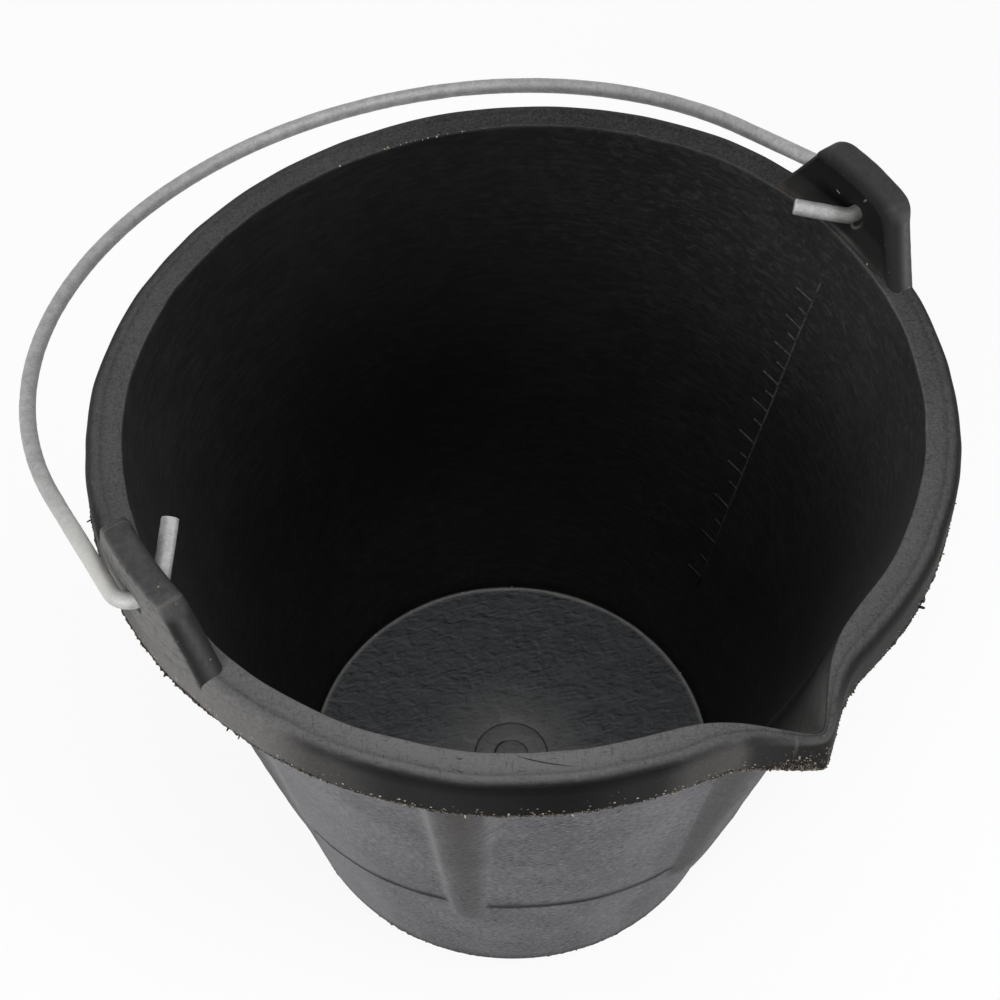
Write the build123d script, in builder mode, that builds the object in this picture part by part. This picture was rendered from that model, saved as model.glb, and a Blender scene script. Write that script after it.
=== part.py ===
import os
from math import cos, hypot, radians, sin, sqrt

from build123d import *

os.makedirs("parts", exist_ok=True)

# Rim: a flat-topped band that the sprung bail pulls into a slight oval, long across the ears; the base stays round
rim_height = 289.0
rim_radius = 166.3
rim_width = 14.8
rim_depth = 19.0
rim_round = 5.5
rim_underside_chamfer = 4.0
oval_stretch = 4.4

# Wall and floor: a cone with one small ledge all round its outside
base_radius = 100.5
base_chamfer = 1.5
floor_radius = 95.5
floor_thickness = 12.5
ledge_height = 95.0
ledge_radius = 118.5
ledge_width = 1.0
wall_top_radius = 152.0

# Gusset ribs that carry the rim: half-sunk cones with a round foot, which grow towards the rim
rib_count = 8
rib_foot_height = 71.0
rib_foot_radius = 10.6
rib_top_radius = 16.5
rib_sink = 8.0

# Pouring lip: a pinched beak on the front of the rim, a chin below it and a channel down into the wall
lip_turn = 1.5
lip_reach = 180.4
lip_half_width = 29.0
lip_tip_radius = 6.0
lip_corner_radius = 8.0
lip_sink = 3.4
chin_reach = 174.0
chin_half_width = 22.0
chin_height = 66.0
chin_sink = 4.0
channel_reach = 174.4
channel_half_width = 31.5
channel_tip_radius = 4.0
channel_height = 66.0
toe_half_width = 9.0

# Ears: two upright plates with a thick border, standing on the rim
ear_top = 322.0
ear_top_half_width = 22.0
ear_foot_half_width = 38.5
ear_corner_radius = 6.0
ear_outer = 169.0
ear_border = 11.0
ear_border_thickness = 11.5
ear_panel_thickness = 7.0
ear_edge_chamfer = 3.0
hinge_height = 299.6
hole_clearance = 0.08

# Bail: one bent wire, folded to the back and hanging a little below level
wire_radius = 3.38
bail_drop = 14.8
loop_radius = 169.5
loop_centre = 55.2
loop_shift = 0.4
leg_lean = {"left": 5.4, "right": 8.5}
leg_corner_radius = {"left": 4.7, "right": 9.0}
end_corner = 159.5
end_bend_radius = 6.0
end_length = {"left": 25.5, "right": 22.0}
end_rise = {"left": 27.0, "right": 6.5}
end_bend = {"left": 52.0, "right": 43.5}

# The rim's oval is four quarter arcs: tight ones round the ears, wide ones at the front and the back
arc_shift = oval_stretch / (1 - sqrt(0.5))
rim_underside = rim_height - rim_depth
inner_rim_radius = rim_radius - rim_width
overlap = 1.0


# How far the four arc centres are off the axis at a height: the oval grows from the round base to the rim
def shift_at(height):
    return arc_shift * min(height / rim_underside, 1)


# Distance from the axis to the oval of a mean radius at a height, in one direction
def oval_reach(radius, height, azimuth):
    across = abs(cos(radians(azimuth)))
    along = abs(sin(radians(azimuth)))
    shift = shift_at(height)
    spread = shift * sqrt(0.5)
    round_ear = shift * across + sqrt((radius - spread) ** 2 - (shift * along) ** 2)
    if round_ear * (across - along) >= shift:
        return round_ear
    return sqrt((radius + spread) ** 2 - (shift * across) ** 2) - shift * along


# Mean radius of the outside of the wall
def wall_radius(height):
    if height < ledge_height:
        return base_radius + (ledge_radius - base_radius) * height / ledge_height
    foot = ledge_radius + ledge_width
    return foot + (wall_top_radius - foot) * (height - ledge_height) / (rim_underside - ledge_height)


# Mean radius of the inside of the wall
def inner_radius(height):
    rise = (height - floor_thickness) / (rim_height - floor_thickness)
    return floor_radius + (inner_rim_radius - floor_radius) * rise


def oval_section(radius, height):
    shift = shift_at(height)
    spread = shift * sqrt(0.5)
    with BuildSketch(Plane.XY.offset(height)) as section:
        with BuildLine():
            CenterArc((shift, 0), radius - spread, -45, 90)
            CenterArc((0, -shift), radius + spread, 45, 90)
            CenterArc((-shift, 0), radius - spread, 135, 90)
            CenterArc((0, shift), radius + spread, 225, 90)
        make_face()
    return section.sketch


# Outline of a beak that points to the front, a little off centre: straight flanks to a round tip
def beak_section(reach, half_width, root, tip_radius, height):
    with BuildSketch(Plane.XY.offset(height).rotated((0, 0, lip_turn))) as section:
        with Locations((0, tip_radius - reach)):
            Circle(tip_radius)
        with Locations((0, -root)):
            Rectangle(2 * half_width, 2 * tip_radius, align=(Align.CENTER, Align.MIN))
        make_hull()
    return section.sketch


# Outline of an ear in the plane across the hinge, drawn in by a margin at its top and sides
def ear_outline(margin, foot_height):
    rise = ear_top - rim_height
    slope = (ear_foot_half_width - ear_top_half_width) / rise
    top = ear_top - margin
    side_margin = margin * hypot(1, slope)
    top_half = ear_top_half_width + slope * margin - side_margin
    foot_half = ear_top_half_width + slope * (ear_top - foot_height) - side_margin
    with BuildSketch(Plane.YZ) as outline:
        with BuildLine():
            Polyline(
                (-foot_half, foot_height),
                (-top_half, top),
                (top_half, top),
                (foot_half, foot_height),
                close=True,
            )
        make_face()
        fillet(outline.vertices().group_by(Axis.Y)[-1], radius=ear_corner_radius)
    return outline.sketch


# Outer skin: two stacked cones under the rim band, whose outline runs out into the beak
lip_root = oval_reach(rim_radius, rim_height, -90) - lip_sink
upper_foot_radius = ledge_radius + ledge_width
with BuildPart() as skin:
    with BuildSketch(Plane.XY.offset(rim_underside)):
        add(oval_section(rim_radius, rim_underside))
        add(beak_section(lip_reach, lip_half_width, lip_root, lip_tip_radius, rim_underside))
    extrude(amount=rim_depth)
    beak_roots = skin.edges().filter_by(Axis.Z).sort_by(Axis.Y)[2:4]
    fillet(beak_roots, radius=lip_corner_radius)
    fillet(skin.edges().group_by(Axis.Z)[-1], radius=rim_round)
    loft([oval_section(base_radius, 0), oval_section(ledge_radius, ledge_height)], ruled=True)
    chamfer(skin.edges().group_by(Axis.Z)[0], length=base_chamfer)
    wall_foot = oval_section(upper_foot_radius, ledge_height)
    loft([wall_foot, oval_section(wall_top_radius, rim_underside)], ruled=True)
    level = skin.faces().filter_by_position(Axis.Z, rim_underside - 0.1, rim_underside + 0.1)
    underside = level.sort_by(SortBy.AREA)[-1]
    chamfer(underside.inner_wires()[0].edges(), length=rim_underside_chamfer)

# Chin that carries the beak and fades into the wall
chin_foot = rim_underside - chin_height
chin_root = oval_reach(wall_top_radius, rim_underside, -90) - chin_sink
chin_toe_reach = oval_reach(wall_radius(chin_foot), chin_foot, -90)
chin_toe_root = chin_toe_reach - lip_tip_radius
with BuildPart() as chin:
    chin_top = rim_underside + overlap
    chin_head = beak_section(chin_reach, chin_half_width, chin_root, lip_tip_radius, chin_top)
    chin_toe = beak_section(chin_toe_reach, lip_tip_radius, chin_toe_root, lip_tip_radius / 2, chin_foot)
    loft([chin_head, chin_toe], ruled=True)

# Hollow of the bucket
with BuildPart() as hollow:
    mouth_height = rim_height + overlap
    mouth = oval_section(inner_radius(mouth_height), mouth_height)
    loft([oval_section(floor_radius, floor_thickness), mouth], ruled=True)

# Channel of the pouring lip
channel_foot = rim_height - channel_height
channel_root = oval_reach(inner_rim_radius, rim_height, -90) - 4 * overlap
toe_reach = oval_reach(inner_radius(channel_foot), channel_foot, -90)
with BuildPart() as channel:
    head = beak_section(channel_reach, channel_half_width, channel_root, channel_tip_radius, rim_height)
    toe_root = toe_reach - channel_tip_radius
    toe = beak_section(toe_reach, toe_half_width, toe_root, channel_tip_radius, channel_foot)
    loft([head, toe], ruled=True)


# One gusset rib, turned about a line that runs up inside the wall
def gusset(azimuth):
    angle = radians(azimuth)
    outward = Vector(cos(angle), sin(angle), 0)
    foot = outward * (oval_reach(wall_radius(rib_foot_height), rib_foot_height, azimuth) - rib_sink)
    foot += Vector(0, 0, rib_foot_height)
    head = outward * (oval_reach(wall_top_radius, rim_underside, azimuth) - rib_sink)
    head += Vector(0, 0, rim_underside + overlap)
    upward = (head - foot).normalized()
    side = upward.cross(outward.cross(upward)).normalized()
    slant = Plane(origin=foot, x_dir=side, z_dir=side.cross(upward))
    length = (head - foot).length
    with BuildPart() as rib:
        with BuildSketch(slant):
            with BuildLine():
                CenterArc((0, 0), rib_foot_radius, -90, 90)
                Polyline(
                    (rib_foot_radius, 0),
                    (rib_top_radius, length),
                    (0, length),
                    (0, -rib_foot_radius),
                )
            make_face()
        revolve(axis=Axis(foot, upward))
    return rib.part


# One ear: an upright plate that follows the bend of the rim, with a panel sunk in its inner side
def ear(side):
    bend_radius = ear_outer - arc_shift
    bend_centre = side * arc_shift
    foot_height = rim_height - rim_round - overlap
    reach = side * (ear_outer + overlap)

    with BuildPart() as recess:
        extrude(ear_outline(ear_border, rim_height), amount=reach)
        with BuildSketch():
            with Locations((bend_centre, 0)):
                Circle(bend_radius - ear_panel_thickness)
        extrude(amount=ear_top, mode=Mode.INTERSECT)

    with BuildPart() as plate:
        extrude(ear_outline(0, foot_height), amount=reach)
        with BuildSketch():
            with Locations((bend_centre, 0)):
                Circle(bend_radius)
                Circle(bend_radius - ear_border_thickness, mode=Mode.SUBTRACT)
        extrude(amount=ear_top, mode=Mode.INTERSECT)
        broad_faces = plate.faces().sort_by(SortBy.AREA)[-2:]
        rounded = broad_faces.edges().sort_by(Axis.Z)[2:]
        chamfer(rounded, length=ear_edge_chamfer)
        add(recess.part, mode=Mode.SUBTRACT)
        with BuildSketch(Plane.YZ):
            with Locations((0, hinge_height)):
                Circle(wire_radius + hole_clearance)
        extrude(amount=reach, mode=Mode.SUBTRACT)
    return plate.part


ribs = [gusset(index * 360 / rib_count) for index in range(rib_count)]
ears = [ear(side) for side in (1, -1)]

with BuildPart() as bucket:
    add(skin.part)
    add(chin.part)
    add(ribs)
    add(hollow.part, mode=Mode.SUBTRACT)
    add(channel.part, mode=Mode.SUBTRACT)
    add(ears)

bucket.part.label = "bucket"
export_step(bucket.part, "parts/bucket.step")


# A point of the bail: across the bucket, and away from the hinge along the folded bail
def bail_point(across, away):
    drop = radians(bail_drop)
    return Vector(across, away * cos(drop), hinge_height - away * sin(drop))


# Tip of one bent end, inside its ear
def end_tip(side, name):
    turn = radians(end_bend[name])
    rise = radians(end_rise[name])
    inward = end_corner - end_length[name] * cos(turn)
    swing = end_length[name] * sin(turn)
    return Vector(side * inward, swing * cos(rise), hinge_height + swing * sin(rise))


# Where one leg leaves the loop, and where its line meets the hinge, as points of the folded bail
def leg_ends(side, lean):
    slope = radians(lean)
    corner = (loop_radius + loop_centre * sin(slope)) / cos(slope)
    top = loop_shift + side * loop_radius * cos(slope)
    return (loop_shift + side * corner, 0), (top, loop_centre + loop_radius * sin(slope))


# Bail: bent end, pin through the ear, leg, loop, and the same again
leg_tops = []
with BuildPart() as bail:
    with BuildLine() as centreline:
        for side, name in ((-1, "left"), (1, "right")):
            leg_corner, leg_top = leg_ends(side, leg_lean[name])
            leg_tops.append(bail_point(*leg_top))
            FilletPolyline(
                end_tip(side, name),
                (side * end_corner, 0, hinge_height),
                bail_point(*leg_corner),
                leg_tops[-1],
                radius=(end_bend_radius, leg_corner_radius[name]),
            )
        crown = bail_point(loop_shift, loop_centre + loop_radius)
        ThreePointArc(leg_tops[0], crown, leg_tops[1])
    path = centreline.wires()[0]
    with BuildSketch(Plane(origin=path @ 0, z_dir=path % 0)):
        Circle(wire_radius)
    sweep(path=path)
bail.part.label = "bail"
export_step(bail.part, "parts/bail.step")
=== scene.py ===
import bpy
import numpy as np
from mathutils import Matrix, Vector
from numpy import array, clip, concatenate, cos, hypot, linspace, pi, radians, sin, sqrt, stack


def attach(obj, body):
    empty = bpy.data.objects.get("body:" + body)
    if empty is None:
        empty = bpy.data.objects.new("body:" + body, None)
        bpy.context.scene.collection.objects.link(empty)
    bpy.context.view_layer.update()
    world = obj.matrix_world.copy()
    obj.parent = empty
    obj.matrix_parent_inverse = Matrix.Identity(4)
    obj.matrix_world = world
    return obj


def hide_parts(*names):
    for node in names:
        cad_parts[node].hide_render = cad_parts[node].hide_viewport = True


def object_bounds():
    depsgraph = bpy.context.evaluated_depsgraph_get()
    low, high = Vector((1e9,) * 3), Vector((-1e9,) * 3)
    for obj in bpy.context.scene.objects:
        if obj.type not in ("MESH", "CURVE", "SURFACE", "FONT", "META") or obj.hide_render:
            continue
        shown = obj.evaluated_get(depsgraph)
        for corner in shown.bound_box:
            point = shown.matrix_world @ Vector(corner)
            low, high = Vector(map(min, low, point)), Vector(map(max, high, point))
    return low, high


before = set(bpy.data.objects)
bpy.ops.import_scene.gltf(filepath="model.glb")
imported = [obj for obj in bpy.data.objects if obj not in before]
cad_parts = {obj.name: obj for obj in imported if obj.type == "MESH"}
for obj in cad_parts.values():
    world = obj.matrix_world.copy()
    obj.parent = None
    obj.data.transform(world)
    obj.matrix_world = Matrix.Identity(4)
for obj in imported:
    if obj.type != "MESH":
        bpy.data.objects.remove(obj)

cadBox = [list(corner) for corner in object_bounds()]
mm = 0.001
print("frame loaded:", sorted(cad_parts))


# Shared shapes, in millimetres until a mesh is made.

# 0 at a, 1 at b and 3t^2 - 2t^3 between them; a may lie above b
def ease(a, b, x):
    t = clip((x - a) / (b - a), 0, 1)
    return t * t * (3 - 2 * t)


# a at t = 0, b at t = 1 and a straight line through them
def mix(a, b, t):
    return a + (b - a) * t


# a bump of height 1 and a width round a middle: exp(-((x - middle) / width)^2)
def bump(x, middle, width):
    return np.exp(-((x - middle) / width) ** 2)


# the larger of two values, with the corner between them rounded over a span k
def softMax(a, b, k):
    h = clip(k - abs(a - b), 0, None) / k
    return np.maximum(a, b) + h * h * k / 4


def softMin(a, b, k):
    return -softMax(-a, -b, k)


# angle difference brought into -pi..pi
def turnTo(angle):
    return (angle + pi) % (2 * pi) - pi


# a bump round an azimuth in degrees; its width and the shift of its middle are in radians
def near(theta, degrees, width, shift=0):
    return bump(turnTo(theta - radians(degrees)), shift, width)


def unit(vectors):
    return vectors / np.linalg.norm(vectors, axis=-1, keepdims=True)


def polar(radius, theta):
    return stack([radius * cos(theta), radius * sin(theta)], -1)


# value at theta from a table by azimuth in degrees, eased between its entries
def roundTable(table, theta):
    knots = array(sorted(table))
    values = array([table[k] for k in knots])
    degrees = np.degrees(turnTo(theta))
    spot = np.searchsorted(knots, degrees) % len(knots)
    before = spot - 1
    gap = (knots[spot] - knots[before]) % 360
    return mix(values[before], values[spot], ease(0, 1, ((degrees - knots[before]) % 360) / gap))


# gentle unevenness of about -1..1: sine waves in random directions, with wavelengths round one size
def ripple(points, size, seed):
    rng, waves = np.random.default_rng(seed), 20
    wave = unit(rng.normal(size=(waves, 3))) * (2 * pi / (size * rng.uniform(0.6, 1.6, waves)))[:, None]
    phase = rng.uniform(0, 2 * pi, waves)
    return sin(points @ wave.T + phase).sum(-1) * 0.9 / sqrt(waves)


# torn edge round a ring, from 0 to about 1: fine teeth that come in patches, and a few long ones
def ragged(count, seed):
    rng = np.random.default_rng(seed)
    place = np.arange(count)

    def smooth(values, width):
        bell = bump(np.minimum(place, count - place), 0, width)
        return np.real(np.fft.ifft(np.fft.fft(values) * np.fft.fft(bell / bell.sum())))

    patch = smooth(rng.random(count), 26)
    patch = clip((patch - patch.mean()) / (2.5 * patch.std()) + 0.5, 0, 1)
    teeth = smooth(rng.random(count) ** 3, 1.5)
    tall = smooth((rng.random(count) > 0.985) * rng.random(count), 1.8)
    return teeth * (0.3 + patch) + 1.7 * tall


# object at the origin from points in millimetres; faces are turned outwards by the sign of the volume
def meshPiece(name, points, faces, marks=None):
    corner = array([face[:3] for face in faces])
    a, b, c = points[corner[:, 0]], points[corner[:, 1]], points[corner[:, 2]]
    if np.einsum("ij,ij->i", a - points.mean(0), np.cross(b - a, c - a)).sum() < 0:
        faces = [face[::-1] for face in faces]
    mesh = bpy.data.meshes.new(name)
    mesh.from_pydata((points * mm).tolist(), [], faces)
    mesh.polygons.foreach_set("use_smooth", np.ones(len(mesh.polygons), bool))
    for mark, values in (marks or {}).items():
        spare = len(points) - values.size
        values = np.append(values.ravel(), np.full(spare, values.ravel()[-1]))
        mesh.attributes.new(mark, "FLOAT", "POINT").data.foreach_set("value", values.astype(np.float32))
    mesh.update()
    piece = bpy.data.objects.new(name, mesh)
    bpy.context.scene.collection.objects.link(piece)
    print("  piece", name, len(points), "points")
    return piece


# faces between rows of point numbers and the rows above them; columns close on themselves
def quads(below, above):
    return stack([below, np.roll(below, -1, 1), np.roll(above, -1, 1), above], -1).reshape(-1, 4)


# closed mesh from a grid of points (rows, columns, 3): columns close on themselves, rows close or end in poles
def gridPiece(name, grid, poles=None, marks=None):
    rows, cols = grid.shape[:2]
    points = grid.reshape(-1, 3)
    index = np.arange(rows * cols).reshape(rows, cols)
    if poles is None:
        return meshPiece(name, points, quads(index, np.roll(index, -1, 0)).tolist(), marks)
    faces = quads(index[:-1], index[1:]).tolist()
    start, end = np.full(cols, rows * cols), np.full(cols, rows * cols + 1)
    faces += stack([start, np.roll(index[0], -1), index[0]], -1).tolist()
    faces += stack([index[-1], np.roll(index[-1], -1), end], -1).tolist()
    return meshPiece(name, np.vstack([points, poles]), faces, marks)


# mesh of many copies of one closed shape: points (copies, corners, 3), and lists of faces by corner number
def swarmPiece(name, points, shapeFaces, marks=None):
    copies, corners = points.shape[:2]
    shift = (np.arange(copies) * corners)[:, None, None]
    faces = []
    for group in shapeFaces:
        faces += (group + shift).reshape(-1, group.shape[1]).tolist()
    marks = {mark: np.repeat(values, corners) for mark, values in (marks or {}).items()}
    return meshPiece(name, points.reshape(-1, 3), faces, marks)


# section (corners, 2) carried along paths (copies, steps, 3): its first axis runs across each path, its second
# along the normals, and a taper scales it
def sweepAlong(paths, normals, section, taper):
    across = unit(np.cross(unit(np.gradient(paths, axis=1)), normals))
    offset = across[:, :, None] * section[:, :1] + normals[:, :, None] * section[:, 1:]
    grid = paths[:, :, None] + taper[:, None, None] * offset
    copies, steps, corners = grid.shape[:3]
    index = np.arange(steps * corners).reshape(steps, corners)
    return grid.reshape(copies, -1, 3), [quads(index[:-1], index[1:]), index[:1, ::-1], index[-1:]]


# Outline of the bucket.

rubber = {
    "rimHeight": 289.0, "rimRadius": 166.3, "rimWidth": 14.8, "rimDepth": 19.0, "rimRound": 5.5,
    "rimEdge": 1.2, "rimDraft": 0.35, "noseRound": 3.0, "mouthRound": 0.45, "ovalStretch": 4.4,
    "baseRadius": 100.5, "baseRound": 2.0, "recess": 1.2,
    "floorRadius": 95.5, "floorHeight": 12.5, "floorRound": 1.8,
    "ledgeHeight": 95.0, "ledgeRadius": 118.5, "ledgeStep": 1.0, "ledgeDepth": 0.12, "ledgeTilt": 2.4,
    "ledgeDrop": 11.5, "wallTop": 152.0, "underRound": 4.5,
    "lipAzimuth": -88.5, "lipReach": 180.1, "lipDraft": 1.7, "lipSlope": 0.77, "lipNose": 3.4, "lipFlare": 5.2,
    "chinReach": 172.5, "chinFoot": 204.0, "chinSlope": 0.9, "chinNose": 4.0,
    "channelReach": 174.3, "channelFoot": 223.0, "channelSlope": 1.06, "channelNose": 2.6,
    "ribFoot": 71.0, "ribFootWidth": 7.6, "ribHeadWidth": 15.5, "ribFootDepth": 1.1, "ribHeadDepth": 7.6,
    # gusset ribs by azimuth: share of the width, share of the depth at the head and at the foot
    "ribs": {-176: (1.0, 0.55, 0.6), -134.5: (1.0, 1.0, 1.0), -80.5: (2.3, 0.8, 2.2),
             **{azimuth: (1.0, 1.0, 1.0) for azimuth in (-45, 0, 45, 90, 135)}},
    "columns": 590,
    # heights of the rows of points: wall below the ledge, the ledge itself, and the inside
    "lowRows": (linspace(2, 54, 8), linspace(59, 91, 11)),
    "ledgeRows": [92.4, 93.2, 93.8, 94.3, 94.8, 95.2, 95.7, 96.4, 97.2, 98.0, 99.0, 100.2, 101.6],
    "insideRows": (linspace(287.6, 222, 18), linspace(212, 21, 13)),
    # radii of the floor's rows, close together round the two rings
    "floorRows": [93.2, 91, 86, 76, 62, 47, 33, 23, 18.2, 17.8, 17.6, 17.4, 17.2, 16.8, 12.5, 8.8, 8.3, 8.1,
                  7.9, 7.7, 7.2, 3.5],
    # how far the soft rim stands out of its true oval, by azimuth
    "sway": {-164: -1.5, -146: -0.7, -130: 0.4, -112: 1.2, -98: 1.4, -78: 1.4, -62: 2.4, -48: 1.8, -26: 0.2,
             0: -0.1, 20: 0.2, 45: 0.0, 80: -0.5, 102: -0.2, 125: 1.2, 140: 0.8, 156: -0.3, 178: -0.8},
    # bloom on the rim's top and on its outer band, by azimuth, from black 0 to grey 1
    "topTone": {-160: 0.84, -140: 0.98, -120: 1.0, -104: 0.80, -97: 0.64, -90: 0.40, -80: 0.56, -64: 0.58,
                -50: 0.54, -20: 0.34, 10: 0.14, 45: 0.12, 90: 0.29, 130: 0.45, 165: 0.49},
    "bandTone": {-172: 0.84, -160: 0.70, -150: 0.26, -140: 0.06, -120: 0.0, -109: 0.06, -103: 0.30,
                 -97.8: 0.36, -95.4: 0.10, -90: 0.06, -84: 0.08, -74: 0.15, -45: 0.17, -10: 0.17, 60: 0.3,
                 120: 0.25, 165: 0.3},
}

arcShift = rubber["ovalStretch"] / (1 - sqrt(0.5))
lip = rubber["lipAzimuth"]
rimTop, ledge = rubber["rimHeight"], rubber["ledgeHeight"]
underside = rimTop - rubber["rimDepth"]
ribAzimuths = radians(list(rubber["ribs"]))
ribWide, ribHead, ribFoot = array(list(rubber["ribs"].values())).T


# distance from the axis to the four-arc oval of a mean radius, looking along theta; it grows from a round base
def ovalReach(radius, theta, z):
    shift = arcShift * clip(z / underside, 0, 1) ** 2
    spread = shift * sqrt(0.5)
    across, along = abs(cos(theta)), abs(sin(theta))
    endArc = shift * across + sqrt((radius - spread) ** 2 - (shift * along) ** 2)
    sideArc = sqrt((radius + spread) ** 2 - (shift * across) ** 2) - shift * along
    return np.where(endArc * (across - along) >= shift, endArc, sideArc)


# distance from the axis to a beak with the outline y = reach - slope (sqrt(x^2 + n^2) - n):
# with x = r sin(phi) and y = r cos(phi) this is a quadratic in r
def beakReach(reach, slope, nose, theta):
    phi = turnTo(theta - radians(lip))
    close = clip(phi, -0.6, 0.6)
    peak = reach + slope * nose
    square = cos(close) ** 2 - (slope * sin(close)) ** 2
    half = peak * cos(close)
    rest = peak ** 2 - (slope * nose) ** 2
    root = (half - sqrt(np.maximum(half ** 2 - square * rest, 0))) / square
    return np.where(abs(phi) < 0.6, root, 0)


# radius of the rim's outer face at a share of its height: oval and beak, whichever is further out;
# the nose of the beak is sharpest and furthest out at the lower edge
def rimReach(theta, up):
    oval = ovalReach(rubber["rimRadius"], theta, underside) + roundTable(rubber["sway"], theta)
    reach = rubber["lipReach"] - rubber["lipDraft"] * up
    beak = beakReach(reach, rubber["lipSlope"], rubber["lipNose"] * (0.5 + 0.8 * up), theta)
    return softMax(oval, beak, 5.0)


# how far the ledge lies above its height at the front: it leans a little to one side, and drops to both sides
def ledgeLift(theta):
    return -rubber["ledgeTilt"] * cos(theta) - rubber["ledgeDrop"] * (1 - near(theta, -127, 0.58))


# how much of a gusset rib is at (theta, z), 0 to 1, how high up and how far across it is, and how deep it is:
# flat across the middle, eased at its sides and round its foot
def ribShare(theta, z, radius):
    away = turnTo(theta[..., None] - ribAzimuths)
    nearest = abs(away).argmin(-1)
    lowest = rubber["ribFoot"] + ledgeLift(ribAzimuths)[nearest]
    rise = clip((z - lowest) / (underside - lowest), 0, 1)
    width = mix(rubber["ribFootWidth"], rubber["ribHeadWidth"], rise) * ribWide[nearest]
    below = clip(lowest + 12 - z, 0, None)
    across = np.take_along_axis(away, nearest[..., None], -1)[..., 0] * radius / width
    share = ease(1.12, 0.45, hypot(across, below / (width + 8)))
    foot, head = rubber["ribFootDepth"] * ribFoot[nearest], rubber["ribHeadDepth"] * ribHead[nearest]
    return share, rise, across, mix(foot, head, rise ** 1.6)


# radius of the outside of the wall: two cones, a groove where they meet, ribs, and the hollow chin of the lip
def wallReach(theta, z):
    theta, z = np.broadcast_arrays(theta, z)
    lower = mix(rubber["baseRadius"], rubber["ledgeRadius"], z / ledge)
    foot = rubber["ledgeRadius"] + rubber["ledgeStep"]
    upper = mix(foot, rubber["wallTop"], (z - ledge) / (underside - ledge))
    share, rise, across, depth = ribShare(theta, z, np.maximum(lower, upper))
    above = z - ledge - ledgeLift(theta)
    groove = bump(above, 0.2, np.where(above > 0.2, 5.0, 1.6)) * (1 - ease(0.0, 0.35, share))
    out = ovalReach(mix(lower, upper, ease(-24, 24, above)) - rubber["ledgeDepth"] * groove, theta, z)
    out = out + depth * share * (1 - 0.14 * bump(across, 0.1, 0.35) * rise)
    t = clip((underside - z) / (underside - rubber["chinFoot"]), 0, 1)
    toe = ovalReach(rubber["wallTop"] - 14, radians(lip), rubber["chinFoot"])
    reach = mix(rubber["chinReach"], toe, 1 - (1 - t) ** 1.5)
    chin = beakReach(reach, rubber["chinSlope"], rubber["chinNose"], theta)
    out = softMax(out, np.where(z > rubber["chinFoot"] - 20, chin, 0), 7.0)
    # the wall flares into the underside of the lip
    out = out + rubber["lipFlare"] * ease(underside - 28, underside - 2, z) ** 2 * near(theta, lip, 0.32, 0.25)
    return out + roundTable(rubber["sway"], theta) * ease(120, underside, z), share, rise, across, groove


# radius of the inside, a cone with the channel that runs down from the lip, and how far the channel stands out
def innerReach(theta, z):
    low, high = rubber["floorRadius"], rubber["rimRadius"] - rubber["rimWidth"]
    rise = (z - rubber["floorHeight"]) / (rimTop - rubber["floorHeight"])
    cone = ovalReach(mix(low, high, rise), theta, z) + roundTable(rubber["sway"], theta) * ease(120, rimTop, z)
    t = (rimTop - z) / (rimTop - rubber["channelFoot"])
    toe = ovalReach(mix(low, high, 0.76), radians(lip), rubber["channelFoot"])
    beak = beakReach(mix(rubber["channelReach"], toe, t), rubber["channelSlope"], rubber["channelNose"], theta)
    # the channel opens softly into the cone, more so further down
    flare = 12 + 16 * ease(0, 0.6, t)
    return softMax(cone, np.where(t < 1.3, beak, 0), flare), beak - cone


# columns crowd round the lip and the ribs
def columnAngles(count):
    fine = linspace(-pi, pi, 24001)
    crowd = 1 + 2.6 * near(fine, lip, 0.16)
    crowd += 0.5 * near(fine[:, None], list(rubber["ribs"]), 0.11).sum(1)
    total = np.cumsum(crowd)
    total = (total - total[0]) / (total[-1] - total[0])
    return np.interp(np.arange(count) / count, total, fine)


# unit vectors that point out of a closed outline (columns, 2)
def outlineNormals(outline):
    along = np.roll(outline, -1, 0) - np.roll(outline, 1, 0)
    return unit(stack([along[:, 1], -along[:, 0]], -1))


# push outwards of the soft rubber: slow waves with smaller ones on them, none where the foot stands
def unevenness(points):
    return ease(3, 25, points[..., 2]) * (0.24 * ripple(points, 55, 11) + 0.11 * ripple(points, 16, 12))


# rise and fall of the floor, and by half as much of the rim's top
def dimples(points):
    return 0.22 * ripple(points, 26, 13) + 0.12 * ripple(points, 9, 14)


# points of the outer or the inner wall at (theta, z), with its unevenness
def skinPoints(reach, theta, z):
    points = concatenate([polar(reach, theta), z[..., None]], -1)
    points[..., :2] += polar(unevenness(points), theta)
    return points


# Bucket: one closed skin from the middle of the underside, up the outside, over the rim and down to the floor.

skinMarks = ("zoneTop", "zoneBand", "zoneInside", "zoneFloor", "ribShadeAndStain", "worn", "specks", "shade", "strokes")


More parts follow.
